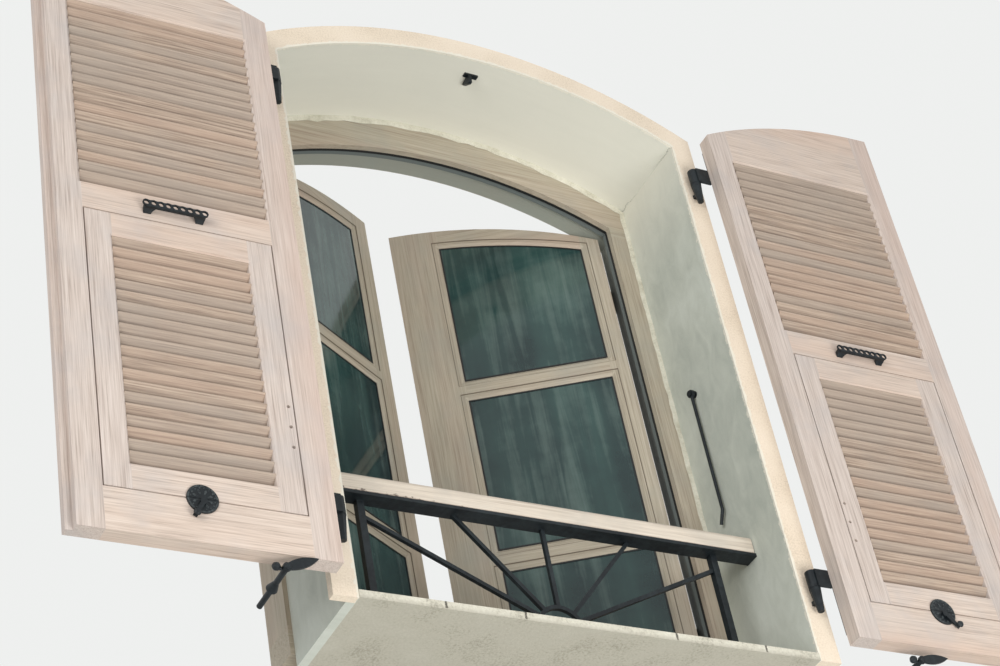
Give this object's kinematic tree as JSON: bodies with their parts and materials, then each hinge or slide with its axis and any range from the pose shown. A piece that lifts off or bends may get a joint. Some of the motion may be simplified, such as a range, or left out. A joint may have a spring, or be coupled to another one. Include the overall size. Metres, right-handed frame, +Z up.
{
  "type": "window with shutters",
  "caption": "Arched casement window with louvred shutters folded back beside it, top-hung shutter flaps, a fan-shaped guard rail, plastered reveal and stone sill.",
  "frame": {"origin": "on the facade face, midway between the reveals, level with the bottom edge of the shutters", "axes": "+X along the facade to the right seen from outside, +Y into the building, +Z up"},
  "size_m": [2.253, 0.7025, 1.7248],
  "materials": {
    "plaster": "matt lime plaster",
    "render": "matt cream render",
    "sill_stone": "weathered stone",
    "window_wood": "worn pale stain",
    "handrail_wood": "weathered pale wood",
    "shutter_wood": "limewashed wood",
    "slat_wood": "limewashed wood",
    "iron": "satin black paint",
    "hinge_metal": "dull zinc",
    "handle_metal": "satin",
    "seal_rubber": "matt",
    "glass": "clear sealed unit"
  },
  "bodies": {
    "surround": {"reveal_lining": "plaster", "wall_band": "render", "sill": "sill_stone", "frame_jambs": "window_wood", "frame_head": "window_wood", "frame_bottom_rail": "window_wood", "frame_seal": "seal_rubber", "handrail": "handrail_wood", "guard_bar": "iron", "guard_posts": "iron", "guard_rays": "iron", "shutter_pintles": "iron", "holdback_stems": "iron", "soffit_stop": "iron", "hook_eye": "iron", "sash_hinge_pins": "hinge_metal"},
    "sash_right": {"sash_hinge_stile_right": "window_wood", "sash_meeting_stile_right": "window_wood", "sash_rails_right": "window_wood", "sash_panes_right": "glass", "sash_hinge_leaves_right": "hinge_metal"},
    "shutter_right": {"shutter_hinge_stile_right": "shutter_wood", "shutter_meeting_stile_right": "shutter_wood", "shutter_top_rail_right": "shutter_wood", "shutter_lower_rails_right": "shutter_wood", "shutter_slats_right": "slat_wood", "strap_hinges_right": "iron", "shutter_handle_right": "iron", "latch_keeper_right": "iron", "flap_hinges_right": "iron"},
    "flap_right": {"flap_stiles_right": "shutter_wood", "flap_rails_right": "shutter_wood", "flap_slats_right": "slat_wood", "flap_ironwork_right": "iron"},
    "latch_right": {"latch_lever_right": "iron"},
    "holdback_right": {"holdback_blade_right": "iron"},
    "sash_left": {"sash_hinge_stile_left": "window_wood", "sash_meeting_stile_left": "window_wood", "sash_rails_left": "window_wood", "sash_panes_left": "glass", "sash_hinge_leaves_left": "hinge_metal", "sash_handle_rose": "handle_metal"},
    "shutter_left": {"shutter_hinge_stile_left": "shutter_wood", "shutter_meeting_stile_left": "shutter_wood", "shutter_top_rail_left": "shutter_wood", "shutter_lower_rails_left": "shutter_wood", "shutter_slats_left": "slat_wood", "strap_hinges_left": "iron", "shutter_handle_left": "iron", "latch_keeper_left": "iron", "flap_hinges_left": "iron"},
    "flap_left": {"flap_stiles_left": "shutter_wood", "flap_rails_left": "shutter_wood", "flap_slats_left": "slat_wood", "flap_ironwork_left": "iron"},
    "latch_left": {"latch_lever_left": "iron"},
    "holdback_left": {"holdback_blade_left": "iron"},
    "sash_handle": {"sash_handle_lever": "handle_metal"},
    "hook": {"hook_rod": "iron"}
  },
  "joints": [
    {"name": "sash_right_hinge", "type": "hinge", "parent": "surround", "child": "sash_right", "pos_m": [0.508, 0.354, 0.7], "axis": [0, 0, 1], "range_deg": [-75, 30.8]},
    {"name": "sash_left_hinge", "type": "hinge", "parent": "surround", "child": "sash_left", "pos_m": [-0.508, 0.354, 0.7], "axis": [0, 0, 1], "range_deg": [-29.5, 75]},
    {"name": "sash_handle_turn", "type": "hinge", "parent": "sash_left", "child": "sash_handle", "pos_m": [-0.11556, 0.56914, 0.72], "axis": [-0.4924, 0.8704, 0], "range_deg": [-90, 0]},
    {"name": "shutter_right_hinge", "type": "hinge", "parent": "surround", "child": "shutter_right", "pos_m": [0.561, -0.0175, 0.75], "axis": [0, 0, 1], "range_deg": [-180, 0]},
    {"name": "shutter_left_hinge", "type": "hinge", "parent": "surround", "child": "shutter_left", "pos_m": [-0.561, -0.0175, 0.75], "axis": [0, 0, 1], "range_deg": [0, 180]},
    {"name": "flap_right_hinge", "type": "hinge", "parent": "shutter_right", "child": "flap_right", "pos_m": [0.86, -0.029, 0.7825], "axis": [1, 0, 0], "range_deg": [0, 70]},
    {"name": "flap_left_hinge", "type": "hinge", "parent": "shutter_left", "child": "flap_left", "pos_m": [-0.86, -0.029, 0.7825], "axis": [1, 0, 0], "range_deg": [0, 70]},
    {"name": "latch_right_turn", "type": "hinge", "parent": "shutter_right", "child": "latch_right", "pos_m": [0.848, -0.06, 0.089], "axis": [0, -1, 0], "range_deg": [0, 150]},
    {"name": "latch_left_turn", "type": "hinge", "parent": "shutter_left", "child": "latch_left", "pos_m": [-0.8715, -0.06, 0.089], "axis": [0, 1, 0], "range_deg": [0, 150]},
    {"name": "holdback_right_turn", "type": "hinge", "parent": "surround", "child": "holdback_right", "pos_m": [0.744, -0.0743, -0.04], "axis": [0, -1, 0], "range_deg": [-67, 81]},
    {"name": "holdback_left_turn", "type": "hinge", "parent": "surround", "child": "holdback_left", "pos_m": [-0.717, -0.0743, -0.031], "axis": [0, -1, 0], "range_deg": [-80, 68]},
    {"name": "hook_rod_swing", "type": "hinge", "parent": "surround", "child": "hook", "pos_m": [0.524, 0.166, 0.816], "axis": [1, 0, 0], "range_deg": [-18, 9]}
  ]
}
